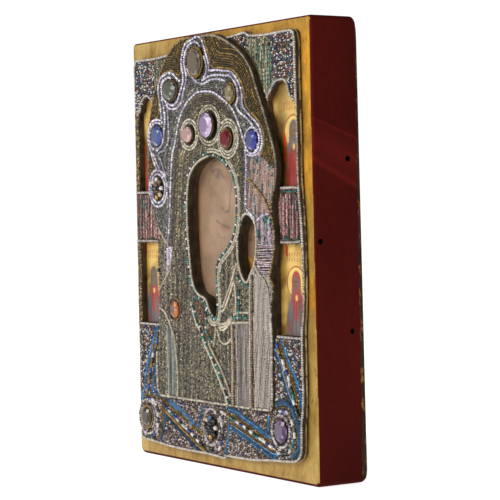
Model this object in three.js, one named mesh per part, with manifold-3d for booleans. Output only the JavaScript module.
// Icon panel: a thick painted board under two panels of bead embroidery with set stones.
// Millimetres, +Z up. The board stands on its lower edge and its painted face looks along -Y.

import * as THREE from 'three';
import { mergeVertices } from 'three/addons/utils/BufferGeometryUtils.js';
import Module from 'manifold-3d';

const wasm = await Module();
wasm.setup();

// Driving dimensions. On the panel, x runs right, y up from a base line that lies BOARD.foot above
// the lower edge, and z forward from the painted face, so every place below is [x, y] on the front.
const BOARD = { width: 240, height: 314.4, depth: 39.5, corner: 3, edge: 2, foot: 1.8 };
const NAIL_HOLE = { radius: 1.8, depth: 6, sides: 8 };
const NAIL_PLACES = [[29, 217], [4.6, 162], [29.5, 101]]; // [behind the front face, above the base line]
const GAP = 0.3; // left between pieces that lie on one another
const CLOTH = { field: 3.7, figure: 3.7 }; // thickness of the two beaded panels
const ROW = { width: 1.7, height: 0.8, sink: 0.5, step: 8, inset: 0.6 }; // a raised row of beads
const BAND_WIDTH = 5; // a band of long beads between two rows

const FIELD_CORNERS = [[-111, 11], [0, 8.5], [111, 13.5], [111, 304], [-111, 298.5]]; // a sagging cloth
const FIGURE_FOOT = 45.5;
const WINDOW = { foot: 100, top: 160.5, archFoot: 199.5, spring: 257, apex: 270 };
const WINDOW_SIDES = { left: [-104.5, -79], right: [79, 107.5] };
const BEHIND_FIGURE = 1.5; // how far the field's face openings lie back from the figure's

const FIGURE_EDGE = [
  [82, 133], [79, 139], [84, 154], [85, 168], [82, 186], [88, 206], [87, 222], [78, 243], [68, 263],
  [58, 282], [42, 296], [18, 307], [0, 309.5], [-28, 309.5], [-46, 304], [-60, 293], [-73, 275],
  [-81, 254], [-85, 241], [-83, 230], [-85.5, 212], [-84, 196], [-78, 181], [-72, 170],
];
const MOTHER_OPENING = [
  [4, 222], [-14, 217], [-25, 206], [-28, 184], [-26.5, 156], [-23, 134], [-16, 125], [-5, 121],
  [1, 112], [6, 107.5], [9.5, 114], [9.5, 139], [14, 150], [29, 162], [36, 176], [37, 196], [31, 210],
  [18, 219],
];
const CHILD_OPENING = [
  [50, 180.5], [43, 174], [39, 162], [39.5, 148], [44, 138], [49, 134.5], [54, 140], [60, 149],
  [62, 163], [60, 175],
];

// Rows of beads that draw the crown, the hood, the robe and the child.
const FIGURE_ROWS = [
  [[3, 283], [20, 283], [35, 280.5], [45, 273], [48, 263], [49, 255], [60, 247.5], [70, 239]], // crown
  [[-2, 277], [10, 279.5], [28, 277.5], [39, 271.5], [42.7, 262], [42, 256], [52, 248.5]], // crown, inner
  [[-64, 252], [-64.5, 264], [-63, 268]], // left post
  [[-53, 239], [-52.5, 250], [-54, 262]], // left post, inner
  [[-76, 229], [-69, 217]], // lappet between the two left loops
  [[-65, 228], [-60, 216]],
  [
    [-57, 159], [-53, 184], [-50.5, 212], [-44, 234], [-35, 253], [-20, 265.5], [-2, 269], [16, 265.5],
    [34, 256], [46, 240], [51.5, 222], [51, 200], [50, 184],
  ], // edge of the hood
  [[-83, 190], [-73, 173], [-57, 159]], // lower edge of the lappet
  [[-72, 123.5], [-61, 133.5], [-54, 142], [-50, 157]], // left cuff
  [[-70, 112], [-62, 108], [-54, 97], [-49, 86], [-46.5, 64], [-47, 47]], // left fold
  [[13, 115], [21, 122], [30, 137], [37, 146]], // flap
  [[8, 104], [11, 95], [18, 90], [29, 93.5]], // pocket
  [[28.5, 106], [28.5, 47]], // right folds
  [[54, 140], [53, 112], [51.5, 92], [51.5, 47]],
  [[34, 138], [35, 112]],
  [[60, 146], [71, 136.5], [77, 126], [78, 114]], // sleeve
  [[53, 205], [62, 200], [73, 192], [82, 178], [83.5, 166]], // edge of the child's hood
  [[51, 184], [62, 177.5]],
];
const FIGURE_BANDS = [
  [[-23, 112], [-11, 95.5], [4, 77], [15, 62], [23, 49]], // sash
  [[31, 108.5], [51, 109.5]], // child's belt
  [[-8, 118], [-4.5, 108], [-3, 96], [3, 90]], // lapel
];
const FIELD_BANDS = [
  [[-76, 38], [-22, 14]], [[10, 39], [69, 22]], // border, to the left and right of the middle
  [[80, 94], [91, 73], [101, 51]], [[-84, 86], [-92, 66], [-99, 48]], // lower corners
];

// Stones: centre, half width and half height, and how far a raised cup lifts them.
const STONES = {
  crown_top_stone: { at: [-12, 290.5], half: [9, 9.5], loop: [17, 16], rim: 1.8, lift: 1 },
  crown_left_stone: { at: [-48.5, 272.3], half: [9.5, 7], loop: [15.5, 11.5], rim: 1.6, lift: 0.8 },
  crown_right_stone: { at: [33.8, 265.6], half: [5.2, 6], rim: 1.4, lift: 0.8 },
  blue_left_stone: { at: [-70, 240], half: [8.3, 7.8], loop: [11, 10] },
  blue_right_stone: { at: [59.5, 231.5], half: [7, 7.2], loop: [9.4, 9.4] },
  hood_amethyst: { at: [4, 244.5], half: [9.2, 8.8], loop: [12.5, 12], rim: 0.8, lift: 2.6 },
  hood_pink_stone: { at: [-23, 239], half: [7, 5.6], loop: [10.2, 9.2], rim: 0.8, lift: 1.8 },
  hood_red_stone: { at: [29, 234], half: [6.1, 6.1], loop: [9.4, 9.4], rim: 1, lift: 1.8 },
  amber_stone: { at: [-49, 111.5], half: [6.5, 6.5], loop: [9.2, 9.2] },
  foot_left_stone: { at: [-98.5, 28], half: [7, 7.2], loop: [11.8, 12], rim: 2, lift: 0.8, onField: true },
  foot_right_stone: { at: [83, 33], half: [8, 8.3], loop: [11, 11.2], onField: true },
};
const STONE = { girdle: 0.9, crown: 2, foot: 0.8, table: 0.58, sides: 10 };
const ROSETTES = {
  left_rosette: { at: [-70, 201], heart: 4.6, ring: 7, bead: 2, count: 8, loop: [12, 12] },
  foot_rosette: {
    at: [-6.5, 28], heart: 4.4, ring: 7.4, bead: 1.8, count: 10, loop: [13.5, 13.5], onField: true,
  },
};

const EDGE_ROW = ROW.inset + ROW.width / 2; // from a cloth's edge to the middle of the row along it
const FIELD_TOP = GAP + CLOTH.field;
const FIGURE_BACK = FIELD_TOP + GAP;
const FIGURE_TOP = FIGURE_BACK + CLOTH.figure;

const MATERIALS = {
  board: new THREE.MeshStandardMaterial({ color: 0x4a1110, roughness: 0.55, metalness: 0 }),
  field: new THREE.MeshStandardMaterial({ color: 0x7d7a70, roughness: 0.6, metalness: 0 }),
  figure: new THREE.MeshStandardMaterial({ color: 0x8c8069, roughness: 0.6, metalness: 0 }),
  setting: new THREE.MeshStandardMaterial({ color: 0xb08a35, roughness: 0.35, metalness: 0.9 }),
};
const STONE_COLOURS = {
  crown_top_stone: 0x6b6052, crown_left_stone: 0x6f7565, crown_right_stone: 0x9b8f55,
  blue_left_stone: 0x3c4f7c, blue_right_stone: 0x2f3fa0, hood_amethyst: 0xb79bc0,
  hood_pink_stone: 0xc08f8a, hood_red_stone: 0x7a1420, amber_stone: 0xc9871f,
  foot_left_stone: 0x6d6a58, foot_right_stone: 0x7c5a86, left_rosette: 0x6b4a30, foot_rosette: 0x2d2c34,
};

// Solids and meshes
function solidOf(geometry) {
  const bare = geometry.clone();
  bare.deleteAttribute('normal');
  bare.deleteAttribute('uv');
  const merged = mergeVertices(bare, 1e-4);
  return new wasm.Manifold(new wasm.Mesh({
    numProp: 3,
    vertProperties: new Float32Array(merged.attributes.position.array),
    triVerts: new Uint32Array(merged.index.array),
  }));
}

function geometryOf(solid) {
  const mesh = solid.getMesh();
  const geometry = new THREE.BufferGeometry();
  geometry.setAttribute('position', new THREE.BufferAttribute(mesh.vertProperties, 3));
  geometry.setIndex(new THREE.BufferAttribute(mesh.triVerts, 1));
  geometry.computeVertexNormals();
  return geometry;
}

function join(solids) {
  return solids.reduce((whole, solid) => whole.add(solid));
}

function mesh(name, geometry, material) {
  const part = new THREE.Mesh(geometry, material);
  part.name = name;
  return part;
}

// Outlines
function curveThrough(places, closed) {
  const points = places.map(([x, y]) => new THREE.Vector3(x, y, 0));
  return new THREE.CatmullRomCurve3(points, closed, 'centripetal');
}

function pointsAlong(places, closed = false) {
  const curve = curveThrough(places, closed);
  const count = Math.max(2, Math.round(curve.getLength() / ROW.step));
  const points = places.length > 2 ? curve.getSpacedPoints(count) : curve.getSpacedPoints(1);
  if (closed) points.pop();
  return points.map((point) => new THREE.Vector2(point.x, point.y));
}

function ellipsePoints([x, y], [halfWidth, halfHeight], count = 16) {
  const curve = new THREE.EllipseCurve(x, y, halfWidth, halfHeight);
  return curve.getPoints(count).slice(0, count);
}

// Points moved sideways along a line: to its left for a positive distance
function offsetPoints(points, distance, closed = false) {
  const last = points.length - 1;
  return points.map((point, i) => {
    const before = points[closed ? (i + last) % (last + 1) : Math.max(i - 1, 0)];
    const after = points[closed ? (i + 1) % (last + 1) : Math.min(i + 1, last)];
    const along = after.clone().sub(before).normalize();
    return new THREE.Vector2(point.x - along.y * distance, point.y + along.x * distance);
  });
}

function slab(shape, back, front) {
  const geometry = new THREE.ExtrudeGeometry(shape, {
    depth: front - back, bevelEnabled: false, curveSegments: 2,
  });
  return solidOf(geometry.translate(0, 0, back));
}

// A cloth of one outline with openings right through it
function pierced(shape, outlines, back, front) {
  const cuts = outlines.map((points) => slab(new THREE.Shape(points), back - 1, front + 1));
  return cuts.reduce((cloth, cut) => cloth.subtract(cut), slab(shape, back, front));
}

// A raised row of beads along a line, and one that closes on itself, both standing on a cloth
function raisedRow(places, top, width = ROW.width) {
  const points = pointsAlong(places);
  const sides = [...offsetPoints(points, width / 2), ...offsetPoints(points, -width / 2).reverse()];
  return slab(new THREE.Shape(sides), top - ROW.sink, top + ROW.height);
}

function raisedLoop(points, top) {
  const shape = new THREE.Shape(offsetPoints(points, -ROW.width / 2, true));
  shape.holes.push(new THREE.Path(offsetPoints(points, ROW.width / 2, true)));
  return slab(shape, top - ROW.sink, top + ROW.height);
}

function loopsOn(settings, top) {
  return Object.values(settings)
    .filter((setting) => setting.loop)
    .map((setting) => raisedLoop(ellipsePoints(setting.at, setting.loop), top));
}

// The wooden board, with its edges worn round and nail holes in the right side
function boardGeometry() {
  const { width, height, depth, corner, edge, foot } = BOARD;
  const shape = new THREE.Shape();
  const right = width / 2 - edge;
  const low = edge - foot;
  const high = height - edge - foot;
  const inner = corner - edge;
  shape.moveTo(-right + inner, low);
  shape.lineTo(right - inner, low);
  shape.quadraticCurveTo(right, low, right, low + inner);
  shape.lineTo(right, high - inner);
  shape.quadraticCurveTo(right, high, right - inner, high);
  shape.lineTo(-right + inner, high);
  shape.quadraticCurveTo(-right, high, -right, high - inner);
  shape.lineTo(-right, low + inner);
  shape.quadraticCurveTo(-right, low, -right + inner, low);
  const geometry = new THREE.ExtrudeGeometry(shape, {
    depth: depth - 2 * edge, bevelThickness: edge, bevelSize: edge, bevelSegments: 2, curveSegments: 2,
  });
  let board = solidOf(geometry.translate(0, 0, edge - depth));
  for (const [behind, up] of NAIL_PLACES) {
    const hole = new THREE.CylinderGeometry(
      NAIL_HOLE.radius, NAIL_HOLE.radius, NAIL_HOLE.depth * 2, NAIL_HOLE.sides);
    hole.rotateZ(Math.PI / 2).translate(width / 2, up, -behind);
    board = board.subtract(solidOf(hole));
  }
  return geometryOf(board);
}

// The outline of the raised figure, and its two face openings
function figureShape() {
  const shape = new THREE.Shape();
  shape.moveTo(-72, FIGURE_FOOT);
  shape.lineTo(77, FIGURE_FOOT);
  shape.lineTo(80, FIGURE_FOOT + 3);
  shape.lineTo(80, 118);
  const edge = pointsAlong(FIGURE_EDGE);
  edge.forEach((point) => shape.lineTo(point.x, point.y));
  shape.lineTo(-71.5, 122);
  shape.lineTo(-73, 95);
  shape.lineTo(-77, 78);
  shape.lineTo(-77, FIGURE_FOOT + 5);
  return shape;
}

function openings(back) {
  const outlines = [MOTHER_OPENING, CHILD_OPENING].map((places) => pointsAlong(places, true));
  return outlines.map((points) => offsetPoints(points, -back, true));
}

// A saint's window: square below the pink band, with an ogee arch above it
function windowPath([left, right], arched) {
  const path = new THREE.Path();
  if (!arched) {
    path.moveTo(left, WINDOW.foot);
    path.lineTo(right, WINDOW.foot);
    path.lineTo(right, WINDOW.top);
    path.lineTo(left, WINDOW.top);
    return path;
  }
  const middle = (left + right) / 2;
  const flare = (right - left) / 5;
  const shoulder = WINDOW.apex - 2;
  path.moveTo(left, WINDOW.archFoot);
  path.lineTo(right, WINDOW.archFoot);
  path.lineTo(right, WINDOW.spring);
  path.quadraticCurveTo(right - flare, WINDOW.spring, right - flare, shoulder - 3);
  path.quadraticCurveTo(right - flare, shoulder, middle, WINDOW.apex);
  path.quadraticCurveTo(left + flare, shoulder, left + flare, shoulder - 3);
  path.quadraticCurveTo(left + flare, WINDOW.spring, left, WINDOW.spring);
  return path;
}

function windowOutlines() {
  const sides = Object.values(WINDOW_SIDES);
  const paths = sides.flatMap((side) => [windowPath(side, false), windowPath(side, true)]);
  return paths.map((path) => path.getPoints(2));
}

// The flat beaded cover: border, windows, bands of long beads and the loops round its stones
function fieldGeometry() {
  const shape = new THREE.Shape(FIELD_CORNERS.map(([x, y]) => new THREE.Vector2(x, y)));
  const windows = windowOutlines();
  const cloth = pierced(shape, [...windows, ...openings(BEHIND_FIGURE)], GAP, FIELD_TOP);

  const border = offsetPoints(shape.getPoints(), Math.SQRT2 * EDGE_ROW, true);
  const frames = windows.map((points) => raisedLoop(offsetPoints(points, -EDGE_ROW, true), FIELD_TOP));
  const onField = Object.values({ ...STONES, ...ROSETTES }).filter((setting) => setting.onField);
  const rows = join([
    raisedLoop(border, FIELD_TOP),
    ...frames,
    ...loopsOn(onField, FIELD_TOP),
    ...FIELD_BANDS.map((places) => raisedRow(places, FIELD_TOP, BAND_WIDTH)),
  ]);
  const figure = new THREE.Shape(offsetPoints(figureShape().getPoints(2), -GAP, true));
  const clearOfFigure = slab(figure, FIELD_TOP, FIGURE_TOP);
  return geometryOf(cloth.add(rows.subtract(clearOfFigure)));
}

// The raised panel of mother and child, drawn in rows of beads
function figureGeometry() {
  const shape = figureShape();
  const edge = raisedLoop(offsetPoints(shape.getPoints(2), EDGE_ROW, true), FIGURE_TOP);
  const onFigure = Object.values({ ...STONES, ...ROSETTES }).filter((setting) => !setting.onField);
  const faceRows = [
    raisedLoop(offsetPoints(pointsAlong(MOTHER_OPENING, true), -EDGE_ROW, true), FIGURE_TOP),
    raisedLoop(offsetPoints(pointsAlong(MOTHER_OPENING, true), -EDGE_ROW - BAND_WIDTH, true), FIGURE_TOP),
    raisedLoop(offsetPoints(pointsAlong(CHILD_OPENING, true), -EDGE_ROW, true), FIGURE_TOP),
  ];
  return geometryOf(join([
    pierced(shape, openings(0), FIGURE_BACK, FIGURE_TOP),
    edge,
    ...faceRows,
    ...loopsOn(onFigure, FIGURE_TOP),
    ...FIGURE_ROWS.map((places) => raisedRow(places, FIGURE_TOP)),
    ...FIGURE_BANDS.map((places) => raisedRow(places, FIGURE_TOP, BAND_WIDTH)),
  ]));
}

// A turned profile of [radius, height] about the axis that points forward
function turned(profile, [scaleX, scaleY]) {
  const points = profile.map(([radius, height]) => new THREE.Vector2(radius, height));
  const geometry = new THREE.LatheGeometry(points, STONE.sides);
  return geometryOf(solidOf(geometry.rotateX(Math.PI / 2).scale(scaleX, scaleY, 1)));
}

function placeOn(part, { at, onField }, lift = 0) {
  part.position.set(at[0], at[1], (onField ? FIELD_TOP : FIGURE_TOP) + GAP + lift);
  return part;
}

// A faceted glass stone, and the metal cup that holds it where one shows
function stonePieces(name, stone) {
  const { half, rim = 0, lift = 0 } = stone;
  const narrow = half[0] - STONE.foot;
  const profile = [
    [0, 0], [narrow, 0], [half[0], STONE.girdle], [half[0] * STONE.table, STONE.girdle + STONE.crown],
    [0, STONE.girdle + STONE.crown],
  ];
  const stretch = [1, half[1] / half[0]];
  const material = new THREE.MeshStandardMaterial({ color: STONE_COLOURS[name], roughness: 0.12 });
  const stoneLift = lift ? lift + GAP : 0;
  const pieces = [placeOn(mesh(name, turned(profile, stretch), material), stone, stoneLift)];
  if (!lift) return pieces;
  const inside = half[0] + GAP;
  const cup = [
    [0, 0], [inside - lift / 2, 0], [inside + rim, lift], [inside + rim, lift + STONE.girdle],
    [inside, lift + STONE.girdle], [inside, lift], [0, lift],
  ];
  pieces.push(placeOn(mesh(`${name}_setting`, turned(cup, stretch), MATERIALS.setting), stone));
  return pieces;
}

// A rosette: a domed heart and a ring of beads sewn to one round patch
function rosettePiece(name, rosette) {
  const { heart, ring, bead, count } = rosette;
  const patch = new THREE.CylinderGeometry(ring, ring, 1, STONE.sides).rotateX(Math.PI / 2);
  const dome = new THREE.SphereGeometry(heart, STONE.sides, 4).scale(1, 1, 0.6);
  const beads = Array.from({ length: count }, (_, i) => {
    const angle = (2 * Math.PI * i) / count;
    const ball = new THREE.SphereGeometry(bead, 6, 3);
    return solidOf(ball.translate(ring * Math.cos(angle), ring * Math.sin(angle), bead));
  });
  const body = join([solidOf(patch.translate(0, 0, 0.5)), solidOf(dome), ...beads]);
  const behind = new THREE.BoxGeometry(4 * ring, 4 * ring, 4 * ring).translate(0, 0, -2 * ring);
  const geometry = geometryOf(body.subtract(solidOf(behind)));
  const material = new THREE.MeshStandardMaterial({ color: STONE_COLOURS[name], roughness: 0.2 });
  return placeOn(mesh(name, geometry, material), rosette);
}

const panel = new THREE.Group();
panel.position.set(0, -BOARD.depth / 2, BOARD.foot);
panel.rotation.x = Math.PI / 2;
panel.add(
  mesh('board', boardGeometry(), MATERIALS.board),
  mesh('beaded_field', fieldGeometry(), MATERIALS.field),
  mesh('beaded_figure', figureGeometry(), MATERIALS.figure),
  ...Object.entries(STONES).flatMap(([name, stone]) => stonePieces(name, stone)),
  ...Object.entries(ROSETTES).map(([name, rosette]) => rosettePiece(name, rosette)),
);

const icon = new THREE.Group();
icon.add(panel);

export default icon;
